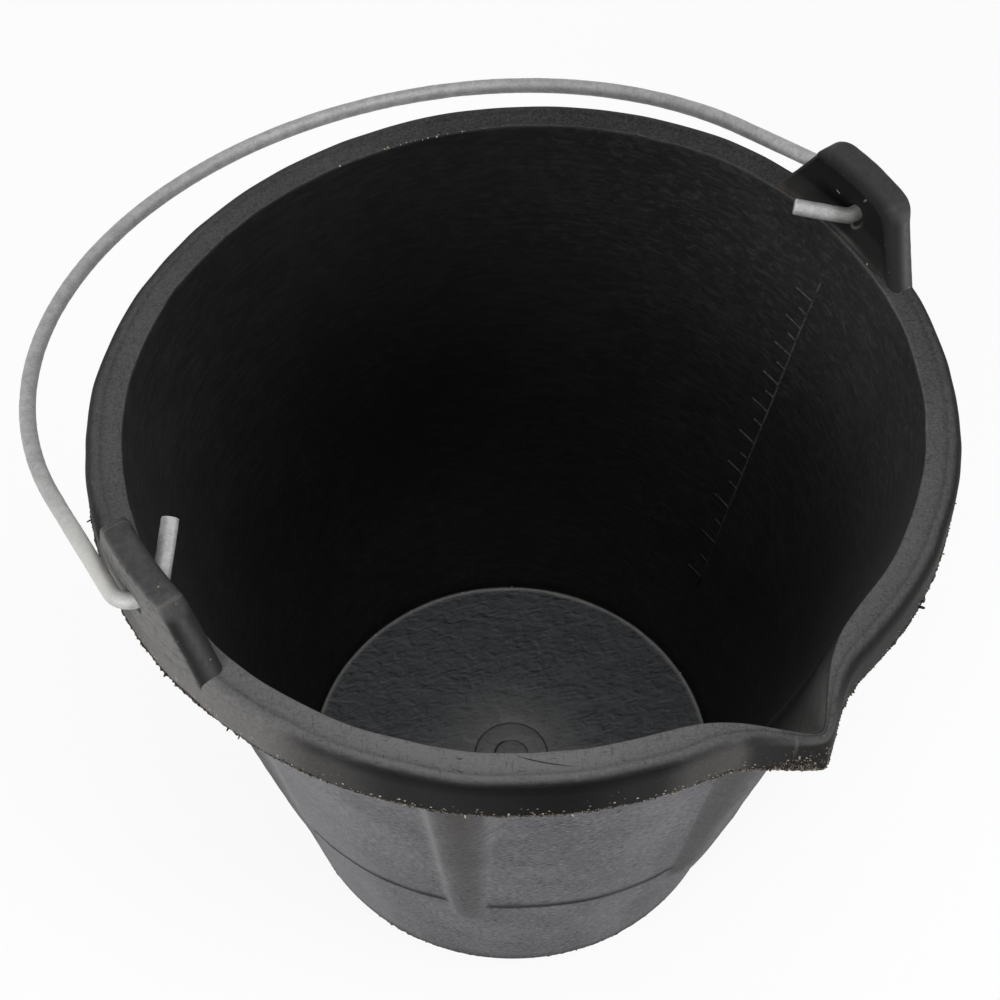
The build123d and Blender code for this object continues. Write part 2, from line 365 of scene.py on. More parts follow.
def buildBucket():
    theta = columnAngles(rubber["columns"])
    outward = polar(1.0, theta)
    layers = []

    # adds rows of plan points (n, columns, 2) at heights, with what is marked on them; a list is by row
    def lay(plan, height, **marked):
        layer = [plan]
        for value in [height] + [marked.get(name, 0.0) for name in skinMarks]:
            value = np.reshape(value, (-1, 1)) if np.ndim(value) == 1 else value
            layer.append(np.broadcast_to(value, plan.shape[:2])[:, :, None])
        layers.append(concatenate(layer, -1))

    # rows of an outline drawn back against a direction by sizes
    def drawn(outline, direction, sizes):
        return outline - direction * sizes[:, None, None]

    # underside: a flat foot ring round a shallow recess
    foot = polar(wallReach(theta, rubber["baseRound"])[0], theta)
    share = array([0.25, 0.5, 0.75, 0.84, 0.87, 0.93])
    lay(foot * share[:, None, None], rubber["recess"] * ease(0.88, 0.83, share), shade=0.3)

    # base edge: a quarter round
    turn, size = radians(linspace(0, 78, 4)), rubber["baseRound"]
    lay(drawn(foot, outward, size * (1 - sin(turn))), size * (1 - cos(turn)), shade=0.8, specks=0.35)

    # wall
    highRows = linspace(103, underside - rubber["underRound"], 35)
    z = concatenate([*rubber["lowRows"], rubber["ledgeRows"], highRows])[:, None]
    z = z + ledgeLift(theta) * bump(z, ledge, 28)
    reach, share, rise, across, groove = wallReach(theta, z)
    # one side of a rib's face is darker, painted shade with a brownish stain that grows darker under the rim,
    # and the front rib and the left one have a pale edge, a painted highlight with wear
    dark = share * bump(across, 0.15, 0.75) * (0.45 + 0.55 * rise)
    darkRight = 0.8 * ease(-1.0, -0.94, across) * ease(0.1, -0.75, across) * ease(65, 82, z)
    pale = (bump(across, -0.88, 0.2) + 0.4 * bump(across, 0.95, 0.16)) * (0.35 + 0.65 * rise)
    pale = pale * near(theta, -134.5, 0.2) * ease(70, 95, z)
    paleLeft = 0.7 * bump(across, 0.95, 0.14) * near(theta, -168, 0.12) * ease(95, 120, z)
    lay(polar(reach, theta), z, ribShadeAndStain=mix(dark, darkRight, near(theta, -80, 0.3)),
        worn=0.75 * (pale + paleLeft), specks=0.25 * ease(8, 2, z),
        shade=groove + 0.5 * ease(9, 2, z) + 0.35 * ease(underside - 14, underside, z))

    # hollow round under the rim, then its flat underside
    turn, size, edge = radians(linspace(18, 90, 5)), rubber["underRound"], rubber["rimEdge"]
    face = polar(rimReach(theta, 0.0), theta)
    normal = outlineNormals(face)
    lower = face - normal * edge
    corner = drawn(polar(reach[-1], theta), outward, size * (cos(turn) - 1))
    corner *= np.minimum(1, (hypot(*lower.T) - 0.3) / np.linalg.norm(corner, axis=-1))[:, :, None]
    lay(corner, underside - size * (1 - sin(turn)), shade=0.7)
    lay(mix(corner[-1], lower, array([0.4, 0.8])[:, None, None]), underside, shade=0.9, specks=0.6)

    # lower edge, outer face and round-over
    turn = radians(linspace(15, 75, 3))
    lay(drawn(face, normal, edge * (1 - sin(turn))), underside + edge * (1 - cos(turn)), zoneBand=1,
        shade=0.45, specks=1)
    nearLip = near(theta, lip, 0.10)
    crease = bump(turnTo(theta - radians(-91.8)) * 165, 0, 0.4)
    bend = mix(rubber["rimRound"], rubber["noseRound"], nearLip)
    up = linspace(0, 1, 8)[:, None]
    z = underside + 1.5 + (rubber["rimDepth"] - 1.5 - bend) * up
    lay(drawn(polar(rimReach(theta, up), theta), normal, rubber["rimDraft"] * up[:, 0] ** 2), z, zoneBand=1,
        worn=0.15 * crease * ease(0.4, 0.9, up),
        specks=np.maximum(ease(0.4, 0, up), 0.8 * nearLip * ease(1.1, 0.3, up)))
    head = polar(rimReach(theta, 1.0), theta)
    turn = radians(linspace(8, 90, 8))[:, None]
    inset = mix(rubber["rimDraft"], bend, 1 - cos(turn))
    over = head - outlineNormals(head) * inset[:, :, None]
    # on the round-over, painted shade in a dark line where the band is dark, and on the nose of the lip a
    # painted highlight through the worn mark
    lay(over, rimTop - bend * (1 - sin(turn)), zoneBand=ease(1.55, 0.75, turn), zoneTop=ease(0.85, 1.5, turn),
        shade=0.75 * bump(turn, 0.85, 0.45) * ease(0.6, 0.1, roundTable(rubber["bandTone"], theta)),
        worn=0.15 * crease + 0.3 * nearLip * bump(turn, 0.8, 0.4))

    # top, a little dished, and its inner edge
    size = rubber["mouthRound"]
    mouth = polar(innerReach(theta, rimTop)[0], theta)
    brink = mouth + outlineNormals(mouth) * size
    edgeWear = near(theta, -8, 0.5)
    t = array([0.10, 0.28, 0.5, 0.72, 0.9, 1.0])
    lay(mix(over[-1], brink, t[:, None, None]), rimTop - 0.35 * sin(pi * t), zoneTop=1,
        shade=[0.3, 0.05, 0, 0, 0, 0], worn=np.outer([0, 0, 0, 0, 0.03, 0.2], edgeWear))
    turn = radians([30, 62])
    lay(mix(mouth, brink, (1 - sin(turn))[:, None, None]), rimTop - size * (1 - cos(turn)), zoneTop=[0.7, 0.2],
        zoneInside=[0.3, 0.8], worn=np.outer([0.15, 0.03], edgeWear))

    # inside: painted shade on the upper back wall, pale strokes, and painted light through the worn mark on
    # the channel's flank, round the lip, on both sides and more towards the floor
    z = concatenate(rubber["insideRows"])[:, None]
    reach, facet = innerReach(theta, z)
    lipWall = near(theta, lip, 0.7, 0.1)
    lay(polar(reach, theta), z, zoneInside=1, shade=0.6 * near(theta, 75, 0.9) * ease(40, 120, z),
        strokes=0.25 + (0.6 * near(theta, 10, 0.8) + 0.3 * lipWall) * ease(170, 270, z),
        worn=0.34 * ease(-8, 24, facet) * ease(205, 280, z) + 0.05 * near(theta, -8, 0.55) * ease(190, 280, z)
        + 0.18 * lipWall * ease(-2, -24, facet) + 0.045 * near(theta, 165, 0.6) + 0.045 * ease(170, 40, z))

    # hollow round into the floor, then the floor with its two moulded rings
    turn, size, base = radians(linspace(10, 80, 4)), rubber["floorRound"], rubber["floorHeight"]
    rim = polar(innerReach(theta, base + size)[0], theta)
    lay(drawn(rim, outward, size * (1 - cos(turn))), base + size * (1 - sin(turn)), zoneFloor=[0, 0, 0.5, 1],
        zoneInside=[1, 1, 0.5, 0], worn=[0.0, 0.2, 1.0, 0.4], specks=[0.05, 0.25, 0.4, 0.2])
    away = array(rubber["floorRows"])[:, None]
    groove = bump(away, 17.5, 0.25) + bump(away, 8.0, 0.28) * (0.7 + 0.8 * bump(turnTo(theta - 2.2), 0, 0.7))
    # on the floor, painted shade in its rings and on its right side, and a painted pool of light in its middle
    # through the worn mark
    lay(outward * away[:, :, None], base - 0.5 * groove, zoneFloor=1,
        shade=clip(groove, 0, 1) + 0.2 * near(theta, -20, 0.9) * ease(30, 85, away),
        worn=0.55 * ease(50, 8, away) * clip(1 - 1.5 * groove, 0, 1))

    skin = concatenate(layers)
    grid = skin[:, :, :3].copy()
    marked = {name: skin[:, :, 3 + k] for k, name in enumerate(skinMarks)}
    grid[:, :, :2] += outward * (unevenness(grid) * (1 - marked["zoneFloor"]))[:, :, None]
    grid[:, :, 2] += (marked["zoneFloor"] + 0.5 * marked["zoneTop"]) * dimples(grid)
    for name in ("topTone", "bandTone"):
        marked[name] = np.broadcast_to(roundTable(rubber[name], theta), grid.shape[:2])
    return gridPiece("bucketBody", grid, array([[0, 0, rubber["recess"]], [0, 0, base]]), marked)


print("bucket body")
bucketBody = buildBucket()


# Ears: upright plates on the rim, each a ring of points round its wire hole; side 1 is right, -1 is left.

ear = {
    "top": 322.0, "topHalf": {"front": 22.0, "back": 20.6}, "footHalf": {"front": 36.6, "back": 37.9},
    "outer": 169.0, "border": 9.5, "borderThick": 11.4, "panelThick": 7.0, "footThick": 13.4,
    "cornerRound": 7.0, "sunkFoot": 283.2, "stand": {1: 1.6, -1: 0.6}, "lean": 1.6, "spokes": 240,
    "hinge": 299.6, "hole": 3.5, "holeSag": 2.4, "mouth": 4.7,
    "roundIn": {"top": 3.6, "front": 5.0, "back": 1.6}, "roundOut": {"top": 2.2, "front": 4.6, "back": 1.4},
    # painted shade in a dark strip and a painted highlight on a paler ridge of the front roll: strength, place
    # and width as shares of the way round
    "stripShade": {1: (0.35, 0.30, 0.09), -1: (0.95, 0.80, 0.22)},
    "ridgeHighlight": {1: (0.55, 0.57, 0.13), -1: (0.30, 0.52, 0.13)},
    "topShare": {1: 0.55, -1: 1.0}, "cornerWear": {1: 0.15, -1: 0.6},
}
earMarks = ("panelMark", "ridgeHighlightMark", "topMark", "outerMark", "seamMark")
earRise = ear["top"] - rimTop
earSlope = {end: (ear["footHalf"][end] - ear["topHalf"][end]) / earRise for end in ("front", "back")}


# distance from a point of the ear's face to its front or back slope
def slopeMargin(y, z, end):
    half = ear["topHalf"][end] + earSlope[end] * (ear["top"] - z)
    return (half + (y if end == "front" else -y)) / hypot(1, earSlope[end])


# distance to the nearest edge, with round corners
def earMargin(y, z):
    sides = np.minimum(slopeMargin(y, z, "front"), slopeMargin(y, z, "back"))
    return softMin(ear["top"] - z, sides, ear["cornerRound"])


# length of the spoke at phi from the hole to where the margin is d, by halving
def spokeReach(phi, d):
    low, high = np.full_like(phi, ear["hole"]), np.full_like(phi, 80.0)
    for halving in range(40):
        middle = (low + high) / 2
        y, z = middle * cos(phi), ear["hinge"] + middle * sin(phi)
        inside = np.minimum(earMargin(y, z) - d, z - ear["sunkFoot"]) > 0
        low, high = np.where(inside, middle, low), np.where(inside, high, middle)
    return low


# thickness of an ear: a sunk panel that runs out at the back, a soft roll along the top and the front, and a
# foot that spreads to the rim's inner edge
def earThick(y, z):
    margin = softMin(ear["top"] - z, slopeMargin(y, z, "front"), ear["cornerRound"])
    roll = ease(ear["border"] + 5.0, ear["border"] - 5.0, margin)
    thick = mix(ear["panelThick"], ear["borderThick"], roll)
    return mix(thick, ear["footThick"], clip((295.5 - z) / 6.5, 0, 1) ** 1.5 * (1 - roll)), roll


# x of an ear's skin at a depth behind its outer face: the plate follows the bend of the rim and leans out,
# x = stand + shift + sqrt(radius^2 - y^2) + lean u^2
def earPlace(side, y, z, depth):
    lean = ear["lean"] * clip((z - rimTop) / earRise, 0, 1) ** 2
    bend = sqrt((ear["outer"] - arcShift - depth) ** 2 - y ** 2)
    return side * (ear["stand"][side] + arcShift + bend + lean)


def buildEar(side, name, seed):
    phi = linspace(-pi, pi, ear["spokes"], endpoint=False)
    tip = spokeReach(phi, 0.0)
    onTop = ease(8, 1, ear["top"] - ear["hinge"] - tip * sin(phi))
    front = (1 - onTop) * (cos(phi) < 0)
    roundIn, roundOut = (mix(size["back"], size["top"], onTop) + (size["front"] - size["back"]) * front
                         for size in (ear["roundIn"], ear["roundOut"]))
    reachIn, reachOut = spokeReach(phi, roundIn), spokeReach(phi, roundOut)
    hole = ear["hole"] + ear["holeSag"] * bump(phi, -pi / 2 - 0.25, 0.55)
    onTop = onTop * ear["topShare"][side]
    corners = np.maximum(bump(phi, radians(48), 0.018), bump(phi, radians(133), 0.018))
    corners = corners * ear["cornerWear"][side]
    rows = []

    def heightAt(length):
        return ear["hinge"] + length * sin(phi)

    # adds a row of points: the length of its spokes, its depth behind the outer face, and what is marked on it
    def lay(length, depth, *marked):
        rows.append(np.broadcast_arrays(length, depth, *marked))

    # marks of the front roll at a share of the way round it, from the inner face to the outer: painted shade
    # in the strip, laid with the panel's mark, and the painted highlight of the ridge
    def rollMarks(share):
        return [front * strength * bump(share, middle, width)
                for strength, middle, width in (ear["stripShade"][side], ear["ridgeHighlight"][side])]

    # inner face, with a seam along the rim and a burr round the hole
    for s in concatenate([[0, 0.03, 0.07], linspace(0.12, 1, 30)]):
        length = mix(hole, reachIn, s)
        thick, roll = earThick(length * cos(phi), heightAt(length))
        seam = 0.25 * bump(heightAt(length), rimTop + 0.5, 0.45) * bump(phi, -pi / 2, 1.0)
        burr = 0.5 * bump(length, hole + 0.9, 0.5) * bump(phi, -1.6, 0.9)
        lay(length, thick + 0.6 * bump(length, hole + 0.7, 0.7), 1 - roll, 0, 0, 0, np.maximum(seam, burr))
    # round of the inner face, the edge, and round of the outer face
    thick = earThick(reachIn * cos(phi), heightAt(reachIn))[0]
    for turn in radians(linspace(15, 90, 6)):
        lay(spokeReach(phi, roundIn * (1 - sin(turn))), thick - roundIn * (1 - cos(turn)),
            *rollMarks(0.45 * turn / (pi / 2)), onTop * ease(0.3, 1.4, turn), 0, 0.4 * corners)
    for t in (0.2, 0.4, 0.6, 0.8):
        lay(tip, mix(thick - roundIn, roundOut, t), *rollMarks(0.45 + 0.1 * t), onTop, 0, 0.4 * corners)
    for turn in radians(linspace(90, 15, 6)):
        outer = mix(ease(1.4, 0.3, turn), ease(0.6, 0.2, turn), front)
        lay(spokeReach(phi, roundOut * (1 - sin(turn))), roundOut * (1 - cos(turn)),
            *rollMarks(1 - 0.45 * turn / (pi / 2)), onTop * ease(0.3, 1.4, turn), outer, 0.5 * corners)
    for s in linspace(1, 0, 12):
        lay(mix(ear["mouth"], reachOut, s), 0, 0, 0, 0, 1, 0)
    length, depth, *marked = array(rows).transpose(1, 0, 2)
    y, z = length * cos(phi), heightAt(length)
    grid = stack([earPlace(side, y, z, depth), y, z], -1)
    worn = ease(4.5, 10, length) * abs(0.14 * ripple(grid, 22, seed) + 0.06 * ripple(grid, 6, seed + 1))
    grid[:, :, 0] -= side * worn * (1 - 1.6 * ease(2, 8, depth))
    footMark = ease(rimTop + 5, rimTop, z) * ease(10, 30, y)
    return gridPiece(name, grid, marks=dict(zip(earMarks, marked), footMark=footMark))


print("ears")
earRight = buildEar(1, "earRight", 21)
earLeft = buildEar(-1, "earLeft", 31)


# Bail: one wire, a circle carried along a path of straight runs and round bends; side 1 is the right leg.

bail = {
    "radius": 3.33, "drop": 14.8, "loopRadius": 169.5, "loopCentre": 55.2, "loopShift": 0.4,
    "lean": {-1: 5.4, 1: 8.5}, "legRound": 9.0, "endCorner": 159.5, "endRound": 6.0,
    "endLength": {-1: 25.5, 1: 22.0}, "endRise": {-1: 27.0, 1: 6.5}, "endBend": {-1: 52.0, 1: 43.5},
    "round": 26, "step": 1.6,
    # cut end: share of the radius and push along the path of its rings, and push of its middle
    "cutShare": array([0.985, 0.93, 0.84, 0.5]), "cutPush": array([0.18, 0.42, 0.58, 0.66]), "cutDome": 0.68,
}


# points of the folded bail: across the bucket, and away from the hinge
def bailPoints(across, away):
    drop = radians(bail["drop"])
    return stack([across, away * cos(drop), ear["hinge"] - away * sin(drop)], -1)


# points along straight runs between corners, each corner replaced by an arc of a radius
def roundedRuns(corners, radii):
    points = [corners[0][None]]

    def runTo(end):
        start = points[-1][-1]
        count = max(2, int(np.linalg.norm(end - start) / bail["step"]))
        points.append(mix(start, end, linspace(0, 1, count + 1)[1:, None]))

    for k, radius in enumerate(radii, 1):
        back, ahead = unit(corners[k - 1] - corners[k]), unit(corners[k + 1] - corners[k])
        half = np.arccos(clip(back @ ahead, -1, 1)) / 2
        enter = corners[k] + back * radius / np.tan(half)
        centre = corners[k] + unit(back + ahead) * radius / sin(half)
        sweep = pi - 2 * half
        runTo(enter)
        t = linspace(0, sweep, max(6, int(radius * sweep / 0.9)) + 1)[1:, None]
        points.append(centre + (enter - centre) * cos(t) - radius * back * sin(t))
    runTo(corners[-1])
    return np.vstack(points)


def buildBail():
    size, centre, shift = bail["loopRadius"], bail["loopCentre"], bail["loopShift"]
    runs, leans = {}, {side: radians(lean) for side, lean in bail["lean"].items()}
    for side, lean in leans.items():
        turn, rise = radians(bail["endBend"][side]), radians(bail["endRise"][side])
        long = bail["endLength"][side]
        swing = long * sin(turn)
        corners = [array([side * (bail["endCorner"] - long * cos(turn)), swing * cos(rise),
                          ear["hinge"] + swing * sin(rise)]),
                   array([side * bail["endCorner"], 0, ear["hinge"]]),
                   bailPoints(shift + side * (size + centre * sin(lean)) / cos(lean), 0.0),
                   bailPoints(shift + side * size * cos(lean), centre + size * sin(lean))]
        runs[side] = roundedRuns(corners, (bail["endRound"], bail["legRound"]))
    # loop: a circle of loopRadius in the plane of the folded bail, from one leg to the other
    turn = linspace(pi - leans[-1], leans[1], 330)[1:-1]
    loop = bailPoints(shift + size * cos(turn), centre + size * sin(turn))
    path = np.vstack([runs[-1], loop, runs[1][::-1]])
    along = unit(np.gradient(path, axis=0))
    # ring of points square to the path; it starts across the plane of the bail, or across Y on the ends
    drop = radians(bail["drop"])
    across = np.cross(along, [0.0, sin(drop), cos(drop)])
    weak = np.linalg.norm(across, axis=1) < 0.2
    across[weak] = np.cross(along[weak], [0, 1, 0])
    across = unit(across)
    a = linspace(0, 2 * pi, bail["round"], endpoint=False)[:, None]
    ring = across[:, None] * cos(a) + np.cross(across, along)[:, None] * sin(a)
    grid = path[:, None] + ring * bail["radius"]
    grid = grid - ring * abs(0.07 * ripple(grid, 24, 51) + 0.05 * ripple(grid, 5, 52))[:, :, None]
    # cut ends: a small round to a flat face with a slight dome
    cuts, poles = [], []
    for end, sign in ((0, -1), (-1, 1)):
        cut = path[end] + ring[end] * (bail["radius"] * bail["cutShare"])[:, None, None]
        cuts.append(cut + sign * along[end] * bail["cutPush"][:, None, None])
        poles.append(path[end] + sign * along[end] * bail["cutDome"])
    grid = np.vstack([cuts[0][::-1], grid, cuts[1]])
    # the cut ends are bare, the left leg has a painted highlight, and there is painted shade where the wire
    # leaves the ears
    litLeftLeg = ease(-160, -166, path[:, 0]) * ease(90, 20, path[:, 1]) * ease(-1, 12, path[:, 1])
    fromHole = np.linalg.norm(abs(path) - [bail["endCorner"], 0, ear["hinge"]], axis=1)
    marks = {"bareEndsAndLitLeg": np.pad(1.5 * litLeftLeg, len(cuts[0]), constant_values=1),
             "holeShadeMark": np.pad(0.6 * ease(9, 3, fromHole), len(cuts[0]))}
    marks = {name: np.repeat(mark, len(a)) for name, mark in marks.items()}
    return gridPiece("bailWire", grid, array(poles), marks)


print("bail")
bailWire = buildBail()


# Flash: the thin torn fins that the mould leaves on the rim's lower edge and round the base.

flash = {
    "rim": {"columns": 2700, "height": underside + 0.5, "least": 0.15, "most": 1.1, "droop": 0.45, "seed": 41},
    "base": {"columns": 1500, "height": 0.75, "least": 0.1, "most": 0.8, "droop": 0.15, "seed": 43},
}


# fin round an outline: its section in (out, up) is stretched by the local length of the torn edge
def buildFlash(name, settings, outline, guard):
    count = len(outline)
    long = (settings["least"] + settings["most"] * ragged(count, settings["seed"])) * guard
    rng = np.random.default_rng(settings["seed"] + 1)
    wag = settings["droop"] * long * rng.uniform(-1.6, 0.6, count)
    out = stack(np.broadcast_arrays(-1.5, 0.1 * long, 0.7 * long, long, 0.65 * long, 0.0, -1.5))
    lift = stack(np.broadcast_arrays(0.9, 0.5, 0.3 + 0.6 * wag, wag, wag * 0.8 - 0.2, -0.35, -0.1))
    plan = outline + outlineNormals(outline) * out[:, :, None]
    height = np.maximum(settings["height"] + lift, 0.05)
    return gridPiece(name, concatenate([plan, height[:, :, None]], -1), marks={"tornMark": clip(out, 0, 2)})


print("flash")
theta = columnAngles(flash["rim"]["columns"])
outline = polar(rimReach(theta, 0.0), theta)
rimFlash = buildFlash("rimFlash", flash["rim"], outline, 1 - 0.95 * near(theta, lip, 0.03))
theta = linspace(-pi, pi, flash["base"]["columns"], endpoint=False)
outline = polar(ovalReach(rubber["baseRadius"] - 0.25, theta, 0.0), theta)
baseFlash = buildFlash("baseFlash", flash["base"], outline, 1.0)


# Crumbs: small lumps of twenty faces stuck to the torn edges, with splinters among them.

crumb = {
    "seed": 61, "edgeCount": 1200, "bandCount": 50, "noseCount": 260, "earCount": 22, "baseCount": 60,
    "mouthCount": 22, "holeClear": 12,
    # splinters: azimuth, height, how far out of the face, length, thickness and tone
    "splinters": [(-62.4, 271.0, 1.0, 1.7, 0.75, 0.05), (-61.9, 272.6, 0.4, 1.1, 0.6, 0.1),
                  (-174.7, 270.8, 0.8, 1.3, 0.45, 0.1), (-161.8, 270.9, 0.7, 1.3, 0.4, 0.5),
                  (-163.6, 270.9, 0.7, 1.2, 0.4, 0.1), (159.8, 271.6, 0.9, 1.6, 0.4, 0.1),
                  (-53.3, 270.6, 0.5, 0.9, 0.45, 0.5), (-45.0, 270.8, 0.5, 0.9, 0.45, 0.1),
                  (-132.0, 270.2, 0.6, 1.2, 0.4, 0.9), (-119.0, 270.3, 0.6, 1.0, 0.35, 0.9),
                  (-106.0, 270.4, 0.6, 1.2, 0.4, 0.5), (172.0, 271.4, 0.8, 1.6, 0.6, 0.1)],
    # fibres on the right ear's panel: across, height, lift off the panel, length, thickness, tone
    "fibres": [(11.8, 301.3, 0.1, 1.5, 0.35, 0.72), (-3.8, 310.3, 0.35, 2.2, 0.55, 0.6)],
    "fibreWays": [(0.0, 1.0, 0.25), (0.0, -0.5, 0.9)],
}
# corners and faces of an icosahedron, by the golden ratio
g = (1 + sqrt(5)) / 2
crumbCorners = unit(array([(-1, g, 0), (1, g, 0), (-1, -g, 0), (1, -g, 0), (0, -1, g), (0, 1, g), (0, -1, -g),
                           (0, 1, -g), (g, 0, -1), (g, 0, 1), (-g, 0, -1), (-g, 0, 1)]))
crumbFaces = array([(0, 11, 5), (0, 5, 1), (0, 1, 7), (0, 7, 10), (0, 10, 11), (1, 5, 9), (5, 11, 4),
                    (11, 10, 2), (10, 7, 6), (7, 1, 8), (3, 9, 4), (3, 4, 2), (3, 2, 6), (3, 6, 8), (3, 8, 9),
                    (4, 9, 5), (2, 4, 11), (6, 2, 10), (8, 6, 7), (9, 8, 1)])


def buildCrumbs():
    rng = np.random.default_rng(crumb["seed"])
    heap = []

    # adds crumbs at a radius, with their sizes and tones
    def strew(reach, theta, height, size, tone):
        heap.append((np.column_stack([polar(reach, theta), height]), size, tone))

    # adds crumbs on the rim's outer face, pushed out of it a little
    def strewRim(degrees, height, out, size, tone):
        theta = radians(degrees)
        strew(rimReach(theta, (height - underside) / rubber["rimDepth"]) + out, theta, height, size, tone)

    n = crumb["edgeCount"]
    front = np.where(rng.random(n) < 0.6, rng.normal(-118, 34, n), rng.uniform(-180, 180, n))
    strewRim(front, underside + 0.1 + abs(rng.normal(0, 0.8, n)), rng.uniform(-0.1, 0.4, n),
             rng.uniform(0.12, 0.33, n), rng.choice([0.05, 0.5, 0.75, 1.0], n, p=[0.5, 0.3, 0.13, 0.07]))
    n = crumb["bandCount"]
    strewRim(rng.uniform(-165, -40, n), underside + rng.uniform(2, 13, n), -0.05, rng.uniform(0.10, 0.24, n),
             rng.choice([0.4, 0.5, 0.8], n))
    n = crumb["noseCount"]
    strewRim(rng.normal(-90.2, 1.5, n), underside + 0.5 + abs(rng.normal(0, 4.6, n)), -0.12,
             rng.uniform(0.10, 0.26, n), rng.choice([0.05, 0.4, 0.5, 0.8], n, p=[0.3, 0.3, 0.3, 0.1]))
    n = crumb["baseCount"]
    theta = rng.uniform(-pi, pi, n)
    strew(ovalReach(rubber["baseRadius"] + 0.3, theta, 0.0), theta, rng.uniform(0.6, 2.4, n),
          rng.uniform(0.18, 0.42, n), rng.choice([0.05, 0.5, 0.9], n, p=[0.6, 0.25, 0.15]))
    # pale crumbs on the inner edge at the back
    n = crumb["mouthCount"]
    theta = radians(rng.uniform(64, 88, n))
    z = rimTop - rng.uniform(0, 0.5, n)
    strew(innerReach(theta, z)[0] + rng.uniform(-0.1, 0.5, n), theta, z, rng.uniform(0.15, 0.42, n),
          rng.choice([0.5, 0.8, 1.0], n))
    # crumbs on the top and the outer face of the left ear, clear of its hole
    n = crumb["earCount"]
    y = rng.uniform(-26, 24, n)
    low = rng.uniform(292, 318, n)
    onTop = (rng.random(n) < 0.45) | (hypot(y, low - ear["hinge"]) < crumb["holeClear"])
    depth = np.where(onTop, rng.uniform(2.5, 7.5, n), 0.0)
    z = np.where(onTop, ear["top"] - 1.9 * (abs(y) - 18).clip(0) - 0.25, low)
    heap.append((stack([earPlace(-1, y, z, depth), y, z], -1), rng.uniform(0.10, 0.22, n),
                 rng.choice([0.3, 0.5, 0.8], n, p=[0.5, 0.35, 0.15])))
    place, size, tone = (concatenate(part) for part in zip(*heap))
    turn = np.linalg.qr(rng.normal(size=(len(place), 3, 3)))[0]
    stretch = size[:, None] * rng.uniform(0.6, 1.5, (len(place), 3))

    # splinters point out of the edge and a little down; fibres lie on the panel of the right ear
    azimuth, height, out, long, thick, shade = array(crumb["splinters"]).T
    theta = radians(azimuth)
    spot = np.column_stack([polar(rimReach(theta, 0.0) + out, theta), height])
    way = unit(np.column_stack([polar(1.0, theta + 0.3), np.full_like(theta, -0.12)]))
    y, z, lift, fibreLong, fibreThick, fibreShade = array(crumb["fibres"]).T
    fibre = stack([earPlace(1, y, z, earThick(y, z)[0] + lift), y, z], -1)
    way = concatenate([way, unit(array(crumb["fibreWays"]))])
    square = unit(np.cross(way, [0, 0, 1.0]))
    place = concatenate([place, spot, fibre])
    turn = concatenate([turn, stack([way, square, np.cross(way, square)], -1)])
    turn = turn * np.sign(np.linalg.det(turn))[:, None, None]
    stretch = concatenate([stretch, stack([long, thick, thick * 0.7], -1),
                           stack([fibreLong, fibreThick, fibreThick], -1)])
    points = place[:, None] + np.einsum("nij,nkj->nki", turn, crumbCorners * stretch[:, None])
    lowest, highest = (array(corner) / mm for corner in cadBox)
    points = clip(points, lowest + 0.02, highest - 0.02)
    tone = concatenate([tone, shade, fibreShade])
    return swarmPiece("edgeCrumbs", points, [crumbFaces], {"crumbTone": tone})


print("crumbs")
edgeCrumbs = buildCrumbs()


# Litre scale: low ridges on the inner wall at azimuth 0, under the right ear: a line with long and half ticks.

litre = {
    "foot": 70.0, "head": 264.0, "long": 10.0, "half": 5.2, "steps": 24,
    "longTicks": [253.5, 238.1, 222.7, 204.8, 188.1, 168.1, 148.0, 125.5, 100.5, 75.5],
    "halfTicks": [246.1, 231.3, 214.3, 196.8, 179.3, 157.7, 138.5, 112.8, 86.8],
    "section": [(-0.62, -0.6), (-0.34, 0.42), (0.34, 0.42), (0.62, -0.6)],
}


def buildScale():
    t = linspace(0, 1, litre["steps"])
    tick = array(litre["longTicks"] + litre["halfTicks"])[:, None]
    size = np.where(np.arange(len(tick)) < len(litre["longTicks"]), litre["long"], litre["half"])[:, None]
    z = np.vstack([mix(litre["foot"], litre["head"], t), tick + 0 * t])
    theta = np.vstack([0 * t, size * t / innerReach(array(0.0), tick)[0]])
    paths = skinPoints(innerReach(theta, z)[0], theta, z)
    normals = stack([-cos(theta), -sin(theta), np.full_like(theta, 0.2)], -1)
    points, faces = sweepAlong(paths, unit(normals), array(litre["section"]), np.ones_like(t))
    return swarmPiece("litreScale", points, faces)


print("litre scale")
litreScale = buildScale()


# Scuffs: thin dark lines on the rim's top and the lower wall, each a six-sided thread along a curve.

scuff = {
    "steps": 26, "radius": 0.19,
    # four points of each curve: x and y on the top, azimuth and height on the wall
    "top": [[(-92.7, -118.9), (-88.3, -123.6), (-82.4, -130.2), (-74.6, -137.1)],
            [(-110.5, -114.2), (-108.9, -116.4), (-108.0, -118.6), (-107.3, -120.6)],
            [(-106.9, -111.4), (-106.3, -112.2), (-105.6, -112.6), (-104.9, -112.9)],
            [(-60.2, -143.9), (-57.0, -146.6), (-54.6, -148.2), (-52.0, -149.4)]],
    "wall": [[(-134.5, 36.2), (-127.7, 31.3), (-121.5, 28.6), (-112.0, 17.2)],
             [(-129.0, 13.3), (-127.9, 18.6), (-126.6, 24.2), (-125.0, 29.7)]],
}


# cubic through four points at t = 0, 1/3, 2/3 and 1
def curveThrough(points, t):
    power = np.linalg.solve(array([0, 1 / 3, 2 / 3, 1])[:, None] ** np.arange(4), array(points))
    return np.einsum("tp,cpk->ctk", t[:, None] ** np.arange(4), power)


